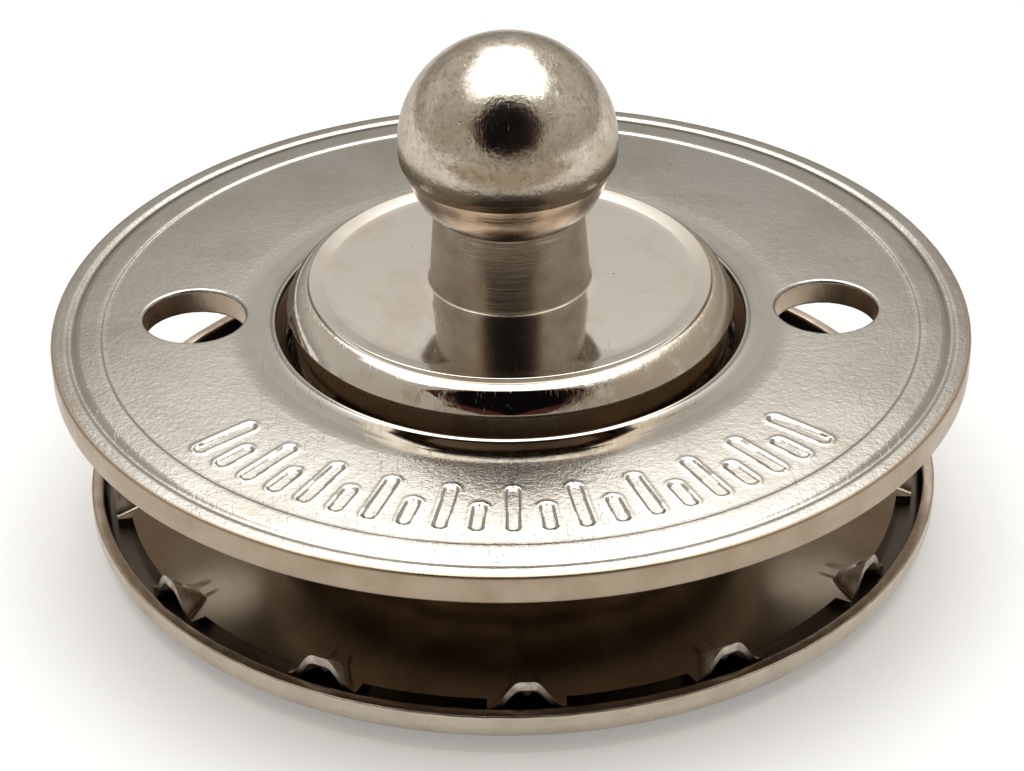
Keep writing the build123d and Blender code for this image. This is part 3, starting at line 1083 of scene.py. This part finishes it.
DARK_CARD_DISTANCE = 62
DARK_CARD_CORNERS = [(-36, -16), (0, -26), (36, -16), (48, 18), (24, 42), (0, 52), (-24, 42), (-48, 18)]
DARK_CARD_CORE_WIDTH = 0.74
DARK_CARD_CORE_HEIGHT = 0.90
DARK_CARD_CORE_LIFT = 1
FRONT_CARD_CORNERS = [(-80, -23, 0.2), (80, -23, 0.2), (110, -130, 6), (-110, -130, 6)]


def sky_ramp(tree, share, stops):
    """Colours over the way from the front horizon over the top to the back one."""
    node = tree.nodes.new("ShaderNodeValToRGB")
    band = node.color_ramp
    band.interpolation = "LINEAR"
    while len(band.elements) < len(stops):
        band.elements.new(0.5)
    for element, (degrees, colour) in zip(band.elements, stops):
        element.position = degrees / 180
        element.color = (*(c / SKY_PEAK for c in colour), 1)
    tree.links.new(share, node.inputs["Fac"])
    return node.outputs["Color"]


def world_light():
    """A soft white box overhead, dimmer behind and warm and darker in front, as the metal mirrors it."""
    world = bpy.data.worlds.new("studio")
    bpy.context.scene.world = world
    world.use_nodes = True
    tree = world.node_tree
    coordinates = tree.nodes.new("ShaderNodeTexCoord")
    parts = tree.nodes.new("ShaderNodeSeparateXYZ")
    tree.links.new(coordinates.outputs["Generated"], parts.inputs[0])
    x, y, z = parts.outputs
    sweep = add_math(tree, "ARCTAN2", z, add_math(tree, "MULTIPLY", y, -1))
    share = add_range(tree, sweep, 0, math.pi)
    taper = add_range(tree, share, SKY_TAPER_START / 180, SKY_TAPER_END / 180, 1.0, SKY_TAPER)
    aside = add_math(tree, "MULTIPLY", add_math(tree, "ABSOLUTE", x), taper)
    reach = add_range(tree, aside, SKY_CORE, SKY_REACH, curve="SMOOTHSTEP")
    mix = tree.nodes.new("ShaderNodeMix")
    mix.data_type = "RGBA"
    tree.links.new(reach, mix.inputs["Factor"])
    tree.links.new(sky_ramp(tree, share, SKY_OVERHEAD), mix.inputs[6])
    tree.links.new(sky_ramp(tree, share, SKY_SIDES), mix.inputs[7])
    background = tree.nodes["Background"]
    tree.links.new(mix.outputs[2], background.inputs["Color"])
    background.inputs["Strength"].default_value = SKY_PEAK


def make_floor():
    """Pale floor under the part."""
    size = 600 * MM
    corners = [(-size, -size, 0), (size, -size, 0), (size, size, 0), (-size, size, 0)]
    mesh = bpy.data.meshes.new("floor")
    mesh.from_pydata(corners, [], [(0, 1, 2, 3)])
    mesh.materials.append(pale_floor())
    floor = bpy.data.objects.new("floor", mesh)
    bpy.context.scene.collection.objects.link(floor)


def camera_place():
    """The camera's place, and the direction from its aim back to it."""
    back = Vector((0, -math.cos(CAMERA_ELEVATION), math.sin(CAMERA_ELEVATION)))
    return Vector(CAMERA_AIM) + back * CAMERA_DISTANCE, back


def make_camera():
    """Long lens from the front, above the disc."""
    data = bpy.data.cameras.new("view")
    data.lens = CAMERA_LENS
    data.sensor_width = 36
    data.clip_start = 1 * MM
    data.clip_end = 5
    camera = bpy.data.objects.new("view", data)
    bpy.context.scene.collection.objects.link(camera)
    place, back = camera_place()
    camera.location = place * MM
    camera.rotation_mode = "QUATERNION"
    level = (-back).to_track_quat("-Z", "Y")
    camera.rotation_quaternion = level @ Quaternion((0, 0, 1), -CAMERA_ROLL)
    bpy.context.scene.camera = camera


def matt_card(name, colour):
    """Material of a card that mirrors nothing."""
    material = bpy.data.materials.new(name)
    material.use_nodes = True
    shader = material.node_tree.nodes["Principled BSDF"]
    shader.inputs["Base Color"].default_value = (*colour, 1)
    shader.inputs["Roughness"].default_value = 1.0
    shader.inputs["Specular IOR Level"].default_value = 0.0
    return material


def unseen_stage(piece):
    """Stage piece that only the metal mirrors."""
    piece.visible_camera = False
    piece.visible_shadow = False
    piece.visible_diffuse = False


def make_dark_card():
    """Many-sided dark card that faces the ball from the front: black, with brown sides."""
    place, back = camera_place()
    centre = Vector((0, 0, BALL_CENTRE)) + back * DARK_CARD_DISTANCE
    across = Vector((1, 0, 0))
    up = back.cross(across)
    wide, high, lift = DARK_CARD_CORE_WIDTH, DARK_CARD_CORE_HEIGHT, DARK_CARD_CORE_LIFT
    core_corners = [(x * wide, y * high + lift) for x, y in DARK_CARD_CORNERS]
    shell = Shell()
    outer = [shell.point(*(centre + across * x + up * y)) for x, y in DARK_CARD_CORNERS]
    inner = [shell.point(*(centre + across * x + up * y)) for x, y in core_corners]
    shell.bridge(outer, inner, 0)
    shell.face(tuple(inner), 1)
    brown = matt_card("card_brown", (0.085, 0.03, 0.018))
    unseen_stage(shell.build("dark_card", [brown, matt_card("card_black", (0.004,) * 3)]))


def make_front_card():
    """Brown-grey card lying in front, which keeps the underside of the ball dark."""
    shell = Shell()
    shell.face(tuple(shell.point(*corner) for corner in FRONT_CARD_CORNERS), 0)
    unseen_stage(shell.build("front_card", [matt_card("card_grey", (0.36, 0.31, 0.25))]))


make_camera()
make_floor()
world_light()
make_dark_card()
make_front_card()

stud = make_stud([
    polished_nickel("polished_nickel"),
    ball_nickel("ball_nickel"),
    inner_nickel("thread_nickel", (0.40, 0.32, 0.235), (0.28, 0.215, 0.155)),
    collar_nickel("collar_nickel"),
    bevel_nickel("bevel_nickel"),
    neck_nickel("neck_nickel"),
])
nut = make_ring_nut([
    satin_nickel("satin_nickel"),
    edge_nickel("edge_nickel"),
    # Painted shade: the nut's underside and sleeve are painted darker brown for the gap beneath
    inner_nickel("under_nickel", (0.44, 0.37, 0.29), (0.31, 0.25, 0.19), 0.22, 0.34, 0.003),
])
cap = make_cap([
    dish_nickel("dish_nickel"),
    # Painted shade: the cap's inside is painted near black where it lies in shade
    inner_nickel("dish_inside_nickel", (0.13, 0.11, 0.09), (0.09, 0.075, 0.06), 0.3, 0.45),
    inner_nickel("lip_nickel", (0.42, 0.35, 0.28), (0.20, 0.15, 0.11), 0.2, 0.4),
])
washer = make_washer(washer_nickel("washer_nickel"))

for piece in (stud, nut, cap, washer):
    tidy_normals(piece)
place_piece(stud, "stud_base", "ball_stud")
place_piece(cap, "stud_base", "base_cap")
place_piece(washer, "stud_base", "prong_washer")
place_piece(nut, "nut", "ring_nut")

bpy.context.scene.view_settings.view_transform = "Standard"
